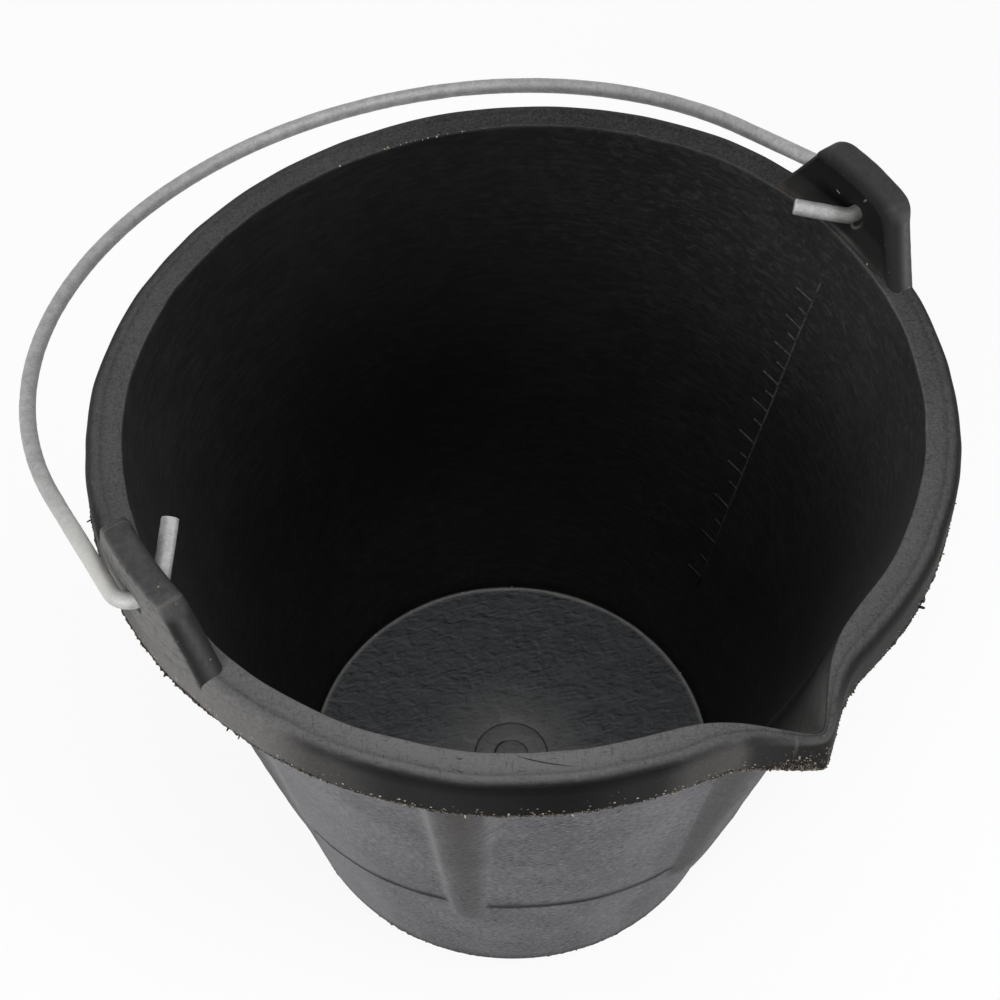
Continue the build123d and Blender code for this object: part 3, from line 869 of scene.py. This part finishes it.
def buildScuffs():
    t = linspace(0, 1, scuff["steps"])
    top = np.pad(curveThrough(scuff["top"], t), ((0, 0), (0, 0), (0, 1)), constant_values=rimTop - 0.28)
    top[:, :, 2] += 0.5 * dimples(top)
    spot = curveThrough(scuff["wall"], t)
    theta, z = radians(spot[:, :, 0]), spot[:, :, 1]
    wall = skinPoints(wallReach(theta, z)[0] - 0.1, theta, z)
    outward = np.pad(polar(1.0, theta), ((0, 0), (0, 0), (0, 1)), constant_values=-0.19)
    normals = concatenate([np.broadcast_to([0.0, 0, 1], top.shape), outward])
    section = scuff["radius"] * polar(1.0, radians(np.arange(6) * 60))
    points, faces = sweepAlong(concatenate([top, wall]), unit(normals), section, 0.25 + 0.75 * sin(pi * t))
    return swarmPiece("scuffLines", points, faces, {"faintMark": np.repeat([0.0, 1.0], [len(top), len(wall)])})


print("scuffs")
scuffLines = buildScuffs()


# What each piece rides on and stands for.

for piece in (bucketBody, earRight, earLeft, rimFlash, baseFlash, edgeCrumbs, litreScale, scuffLines):
    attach(piece, "bucket")
for piece in (bucketBody, earRight, earLeft):
    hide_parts("bucket")
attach(bailWire, "bail")
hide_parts("bail")


# Finishes.

# a shader socket that takes part in sums, and makes every other node
class Wire:
    def __init__(self, tree, socket=None):
        self.tree, self.socket = tree, socket

    # any shader node: its type, its sockets by name or number, the outputs wanted, and its settings, set first
    def node(self, kind, sockets=None, out=0, **settings):
        made = self.tree.nodes.new("ShaderNode" + kind)
        for key, value in settings.items():
            setattr(made, key, value)
        for key, value in (sockets or {}).items():
            if isinstance(value, Wire):
                self.tree.links.new(value.socket, made.inputs[key])
            else:
                made.inputs[key].default_value = value
        if isinstance(out, list):
            return [Wire(self.tree, made.outputs[name]) for name in out]
        return Wire(self.tree, made.outputs[out] if made.outputs else None)

    def maths(self, operation, a, b):
        return self.node("Math", {0: a, 1: b}, operation=operation)

    def __add__(self, other):
        return self.maths("ADD", self, other)

    def __sub__(self, other):
        return self.maths("SUBTRACT", self, other)

    def __rsub__(self, other):
        return self.maths("SUBTRACT", other, self)

    def __mul__(self, other):
        return self.maths("MULTIPLY", self, other)

    __radd__, __rmul__ = __add__, __mul__

    def most(self, other):
        return self.maths("MAXIMUM", self, other)

    # 0 below a, 1 above b, eased between; a may lie above b
    def between(self, a, b):
        return self.node("MapRange", {"Value": self, "From Min": a, "From Max": b},
                         interpolation_type="SMOOTHSTEP")

    def blend(self, a, b):
        return self.node("Mix", {0: self, 6: a, 7: b}, 2, data_type="RGBA")

    def vector(self, operation, a, b):
        return self.node("VectorMath", {0: a, 1: b}, operation=operation)

    def times(self, place, scales):
        return self.vector("MULTIPLY", place, scales)

    def turned(self, place, angle):
        return self.node("VectorRotate", {"Vector": place, "Angle": radians(angle)}, rotation_type="Z_AXIS")

    def noise(self, place, scale, detail=3.0, rough=0.6, distort=0.0):
        return self.node("TexNoise", {"Vector": place, "Scale": scale, "Detail": detail, "Roughness": rough,
                                      "Distortion": distort})

    # specks strewn over a place: how far off the nearest one is, and two random values that belong to it
    def specks(self, place, scale):
        away, colour = self.node("TexVoronoi", {"Vector": place, "Scale": scale}, ["Distance", "Color"],
                                 feature="F1")
        return [away] + self.node("SeparateColor", {"Color": colour}, ["Red", "Green"])

    def relief(self, height, strength, distance):
        return self.node("Bump", {"Strength": strength, "Distance": distance, "Height": height})

    def mark(self, name):
        return self.node("Attribute", None, "Fac", attribute_name=name)

    def objectPlace(self):
        return self.node("TexCoord", out="Object")

    # 1 on rays from the camera: straight ones, mirrored ones and those through glass
    def seen(self):
        rays = self.node("LightPath", out=["Is Camera Ray", "Is Glossy Ray", "Is Transmission Ray"])
        return rays[0].most(rays[1]).most(rays[2])


# the emptied node tree of a material or a world
def newTree(owner):
    owner.use_nodes = True
    owner.node_tree.nodes.clear()
    return Wire(owner.node_tree)


# colour from the levels 0 to 255 of a picture
def tone(red, green=None, blue=None):
    levels = array([red, red if green is None else green, red if blue is None else blue]) / 255
    linear = np.where(levels <= 0.04045, levels / 12.92, ((levels + 0.055) / 1.055) ** 2.4)
    return (*linear.tolist(), 1.0)


# a function that lays coats of (share, colour) on a colour, the last on top
# a colour is a node or a name in the look
def painter(look):
    def known(colour):
        return tone(*look[colour]) if isinstance(colour, str) else colour

    def paint(colour, *coats):
        colour = known(colour)
        for share, coat in coats:
            colour = share.blend(colour, known(coat))
        return colour

    return paint


# crease is the grey of painted shade; worn is the pale of wear and in places of painted light and highlight;
# rib is a brown stain with painted shade; the floor's fold grey is painted shade in its folds
rubberLook = {
    "topLow": (44, 44, 45), "topHigh": (106, 105, 105), "scratch": (40, 40, 41),
    "bandLow": (20,), "bandHigh": (118, 116, 115),
    "wall": (105, 104, 107), "wallDark": (80, 79, 82), "wallLight": (132, 131, 133), "dash": (42, 41, 43),
    "wallPale": (142, 141, 143), "rib": (58, 56, 53),
    "inside": (36,), "insideDark": (26,), "insideLight": (56,),
    "floor": (103, 105, 108), "floorDark": (45, 47, 50), "floorFoldShade": (38, 39, 41),
    "speckTan": (124, 113, 98), "speckCream": (172, 165, 153), "crease": (20,), "worn": (140, 139, 137),
}


# moulded rubber of the bucket: each zone of the skin has its own grey, grain and scratches
def rubberSockets(w):
    paint = painter(rubberLook)
    place = w.objectPlace()
    onTop, onBand, within, onFloor, rib, worn, specks, shade, strokes = (w.mark(name) for name in skinMarks)
    topTone, bandTone = w.mark("topTone"), w.mark("bandTone")
    heading = w.vector("NORMALIZE", w.times(place, (1, 1, 0)), (0, 0, 0))
    lift = w.times(place, (0, 0, 1))

    # dashes run round the bucket: the direction from the axis, stretched, with the height squeezed
    def dashes(turns, rise, *settings):
        where = w.vector("ADD", w.times(heading, (turns, turns, 0)), w.times(lift, (0, 0, rise)))
        return w.noise(where, 1.0, *settings)

    # short scratches: noise stretched along one direction
    def scratches(angle, scales):
        return w.noise(w.times(w.turned(place, angle), scales), 1.0, 3.0, 0.6, 0.6).between(0.58, 0.74)

    dash, streak, stroke = dashes(60, 1700), dashes(11, 620), dashes(24, 460, 4.0, 0.65, 0.8)
    hatch = scratches(35.0, (330, 2100, 330)).most(scratches(-62.0, (300, 1900, 300)))
    cloud, grain = w.noise(place, 24.0), w.noise(place, 950.0, 3.0, 0.62)
    leather = w.noise(place, 150.0, 5.0, 0.62, 0.6)
    # the floor's crumpled skin: painted light and shade of a relief lit from one side, from the difference of
    # a stretched noise and a shifted copy of it, and short curved grooves where another one peaks, with
    # painted shade in them
    crumple = w.times(w.turned(place, 20.0), (130, 250, 130))
    slope = (w.noise(crumple, 1.0, 4.0, 0.62, 0.9)
             - w.noise(w.vector("ADD", crumple, (0.12, 0.2, 0)), 1.0, 4.0, 0.62, 0.9))
    fold = w.noise(w.times(w.turned(place, 20.0), (70, 260, 70)), 1.0, 3.0, 0.6, 1.6).between(0.60, 0.72)
    away, pick, hue = w.specks(place, 620.0)
    many = (pick + specks * 0.6).between(0.985, 1.03)
    speck = away.between(0.34, 0.22) * many * specks.between(0.0, 0.2)

    # the wall is paler where the band is paler, to the left and right, as bloom and painted light; the ribs
    # take painted shade with a brown stain
    wall = paint("wallDark", (cloud.between(0.35, 0.65) * 0.5 + dash.between(0.3, 0.7) * 0.5, "wall"),
                 (dash.between(0.55, 0.70) * 0.8 + streak.between(0.6, 0.8) * 0.25, "wallLight"),
                 (dash.between(0.46, 0.33) * 0.8, "dash"), (bandTone * 0.42, "wallPale"),
                 (rib * (0.55 + 0.5 * cloud), "rib"))
    top = paint("topLow", (topTone + (grain - 0.5) * 0.85 + (cloud - 0.5) * 0.3, "topHigh"),
                (hatch * 0.55, "scratch"))
    band = paint("bandLow", (bandTone * (0.25 + 0.7 * dash + 0.8 * grain), "bandHigh"))
    inside = paint("insideDark", ((cloud * 0.4 + streak * 0.6).between(0.42, 0.66), "inside"),
                   (strokes * (stroke.between(0.44, 0.76) + hatch * 0.35), "insideLight"))
    floor = paint("floorDark", (0.18 + 0.5 * leather + 0.14 * cloud + 2.1 * slope, "floor"),
                  (fold * 0.6, "floorFoldShade"))
    # the shade mark lays painted shade, and the worn mark lays wear together with painted light and highlights
    colour = paint(wall, (onBand, band), (onTop, top), (within, inside), (onFloor, floor),
                   (shade * (0.7 + 0.4 * cloud), "crease"), (worn * (0.45 + 0.8 * grain), "worn"),
                   (speck, paint("speckTan", (hue.between(0.55, 0.75), "speckCream"))))

    height = (grain * 0.35 - hatch * 0.35 * onTop + dash * 0.35 * (1 - onTop) + speck * 0.8
              + (leather * 2.4 - fold * 1.2) * onFloor)
    return {"Base Color": colour, "Roughness": 0.60 + 0.10 * grain - 0.16 * onFloor - 0.08 * onBand,
            "Normal": w.relief(height, 0.6, 0.0006), "Specular IOR Level": 0.02, "Coat Weight": 0.35 * onFloor,
            "Coat Roughness": 0.34}


earLook = {
    "base": (45,), "panel": (27,), "top": (76,), "outer": (104, 103, 102), "ridgeHighlight": (118, 117, 117),
    "seam": (150, 146, 138), "foot": (72, 65, 57), "speck": (150, 130, 105),
}


# rubber of the ears: near black, greyer on top, with a painted highlight along the ridge of the front roll,
# painted shade in a strip beside it, and a paler outer face
def earSockets(w):
    place = w.objectPlace()
    panel, ridgeHighlight, top, outer, seam, foot = (w.mark(name) for name in earMarks + ("footMark",))
    cloud, grain = w.noise(place, 60.0), w.noise(place, 700.0, 3.0, 0.62)
    mottle = w.noise(place, 300.0, 4.0, 0.65).between(0.35, 0.65)
    rubbed = w.noise(w.times(place, (420, 260, 420)), 1.0)
    away, pick = w.specks(place, 480.0)[:2]
    speck = away.between(0.28, 0.18) * pick.between(0.93, 0.955)
    paint = painter(earLook)
    colour = paint("base", (panel * (0.7 + 0.3 * cloud), "panel"),
                   (top * (0.3 + 0.35 * mottle + 0.5 * grain), "top"),
                   (outer * rubbed.between(0.1, 0.6), "outer"), (ridgeHighlight * (0.25 + 0.9 * rubbed), "ridgeHighlight"),
                   (foot * cloud.between(0.35, 0.6) * 0.4, "foot"), (seam * (0.35 + 0.7 * grain), "seam"),
                   (speck * 0.8, "speck"))
    height = grain * 0.4 + rubbed * 0.5 * outer + speck * 0.5
    return {"Base Color": colour, "Roughness": 0.44 + 0.14 * grain, "Normal": w.relief(height, 0.5, 0.0006),
            "Specular IOR Level": 0.05}


flashLook = {"root": (36,), "dusty": (82, 77, 70), "tan": (120, 104, 84), "cream": (168, 158, 142)}


# torn rubber of the flash: dark at its root, with tan and cream dust on the torn edge
def flashSockets(w):
    paint = painter(flashLook)
    place = w.objectPlace()
    dust, hue = w.noise(place, 1100.0, 2.0, 0.5), w.noise(place, 300.0, 2.0, 0.5)
    colour = paint("root", (dust.between(0.4, 0.6), "dusty"),
                   (w.mark("tornMark").between(0.2, 1.4) * dust.between(0.46, 0.62),
                    paint("tan", (hue.between(0.45, 0.6), "cream"))))
    return {"Base Color": colour, "Roughness": 0.75, "Specular IOR Level": 0.12}


crumbLook = {"dark": (34,), "tan": (120, 109, 95), "cream": (176, 169, 156)}


# crumbs: from dark rubber through tan to cream
def crumbSockets(w):
    pale = w.mark("crumbTone")
    colour = painter(crumbLook)("dark", (pale.between(0.1, 0.5), "tan"), (pale.between(0.6, 1.0), "cream"))
    return {"Base Color": colour, "Roughness": 0.8, "Specular IOR Level": 0.12}


scaleLook = {"wall": (36,), "rubbed": (66, 64, 61)}


# litre scale: rubbed pale at its head, fading into the wall lower down
def scaleSockets(w):
    place = w.objectPlace()
    height = w.node("SeparateXYZ", {"Vector": place}, "Z")
    rubbed = w.noise(place, 420.0).between(0.3, 0.6) * height.between(0.0, 0.22)
    colour = painter(scaleLook)("wall", (rubbed, "rubbed"))
    return {"Base Color": colour, "Roughness": 0.65, "Specular IOR Level": 0.12}


scuffLook = {"black": (26,), "faint": (74, 73, 75)}


# thin lines: black on the rim's top, fainter on the wall
def scuffSockets(w):
    colour = painter(scuffLook)("black", (w.mark("faintMark"), "faint"))
    return {"Base Color": colour, "Roughness": 0.8, "Specular IOR Level": 0.1}


wireLook = {
    "dull": (148, 149, 148), "zinc": (168, 169, 168), "bright": (194, 195, 193), "spot": (118, 118, 117),
    "bareAndLit": (206, 205, 201), "holeShade": (70, 69, 67),
}


# galvanised wire: dull zinc, softly mottled, with bare cut ends, a painted highlight on the left leg and
# painted shade at the ears
def wireSockets(w):
    place = w.objectPlace()
    mottle, fine, spot = w.noise(place, 210.0), w.noise(place, 950.0), w.noise(place, 330.0)
    paint = painter(wireLook)
    colour = paint("dull", (mottle.between(0.35, 0.65), "zinc"), (fine.between(0.40, 0.75) * 0.45, "bright"),
                   (spot.between(0.64, 0.76) * 0.45, "spot"), (w.mark("bareEndsAndLitLeg") * 0.5, "bareAndLit"),
                   (w.mark("holeShadeMark"), "holeShade"))
    return {"Base Color": colour, "Metallic": 0.35, "Roughness": 0.50 + 0.15 * mottle,
            "Normal": w.relief(fine * 0.5 + spot * 0.5, 0.3, 0.0003)}


print("finishes")
finishes = {
    "mouldedRubber": (rubberSockets, [bucketBody]), "earRubber": (earSockets, [earRight, earLeft]),
    "tornRubber": (flashSockets, [rimFlash, baseFlash]), "crumbs": (crumbSockets, [edgeCrumbs]),
    "scaleRubber": (scaleSockets, [litreScale]), "scuffs": (scuffSockets, [scuffLines]),
    "galvanisedWire": (wireSockets, [bailWire]),
}
for name, (sockets, pieces) in finishes.items():
    material = bpy.data.materials.new(name)
    w = newTree(material)
    shader = w.node("BsdfPrincipled", sockets(w))
    w.node("OutputMaterial", {"Surface": shader})
    for piece in pieces:
        piece.data.materials.append(material)


# Floor, light and world.

studio = {
    "floorHalf": 6000.0, "floorDrop": 0.3, "paper": 250, "world": 0.37, "shadowShare": 0.11,
    "aim": (0, 0, 200),
    # lamps: place, width and power
    "lamps": {"keyLamp": ((-1750, -680, 950), 1200, 21.8), "fillLamp": ((1100, -1300, 800), 1200, 14.0),
              "topLamp": ((-150, -300, 1900), 900, 8.8)},
}


def buildStudio():
    half, drop, white = studio["floorHalf"], studio["floorDrop"], (1, 1, 1, 1)
    corners = array([[-half, -half, -drop], [half, -half, -drop], [half, half, -drop], [-half, half, -drop]])
    mesh = bpy.data.meshes.new("studioFloor")
    mesh.from_pydata((corners * mm).tolist(), [], [(0, 1, 2, 3)])
    floor = bpy.data.objects.new("studioFloor", mesh)
    bpy.context.scene.collection.objects.link(floor)
    material = bpy.data.materials.new("studioPaper")
    w = newTree(material)
    plain = w.node("BsdfDiffuse", {"Color": tone(studio["paper"])})
    glow = w.node("Emission", {"Color": white, "Strength": 1.0})
    paper = w.node("MixShader", {0: w.seen() * (1 - studio["shadowShare"]), 1: plain, 2: glow})
    w.node("OutputMaterial", {"Surface": paper})
    mesh.materials.append(material)
    for name, (place, size, power) in studio["lamps"].items():
        lamp = bpy.data.lights.new(name, "AREA")
        lamp.shape, lamp.size, lamp.energy = "DISK", size * mm, power
        holder = bpy.data.objects.new(name, lamp)
        holder.location = Vector(place) * mm
        holder.rotation_euler = (Vector(studio["aim"]) - Vector(place)).to_track_quat("-Z", "Y").to_euler()
        bpy.context.scene.collection.objects.link(holder)
    world = bpy.data.worlds.new("studioWorld")
    w = newTree(world)
    strength = studio["world"] + (1 - studio["world"]) * w.seen()
    back = w.node("Background", {"Color": white, "Strength": strength})
    w.node("OutputWorld", {"Surface": back})
    bpy.context.scene.world = world


print("studio")
buildStudio()


# Camera, from the photograph's point of view.

view = {"place": (-318.86, -427.76, 989.25), "target": (-32.50, -30.33, 289.12), "roll": 1.46, "lens": 82.38,
        "sensor": 36.0, "nearest": 0.01, "furthest": 50}


def buildCamera():
    place, target = Vector(view["place"]) * mm, Vector(view["target"]) * mm
    forward = (target - place).normalized()
    right = forward.cross(Vector((0, 0, 1))).normalized()
    up = right.cross(forward)
    c, s = cos(radians(view["roll"])), sin(radians(view["roll"]))
    axes = Matrix((c * right + s * up, c * up - s * right, -forward)).transposed().to_4x4()
    axes.translation = place
    data = bpy.data.cameras.new("photoView")
    data.lens, data.sensor_width = view["lens"], view["sensor"]
    data.clip_start, data.clip_end = view["nearest"], view["furthest"]
    camera = bpy.data.objects.new("photoView", data)
    camera.matrix_world = axes
    bpy.context.scene.collection.objects.link(camera)
    bpy.context.scene.camera = camera


print("camera")
buildCamera()
bpy.context.scene.view_settings.view_transform = "Standard"
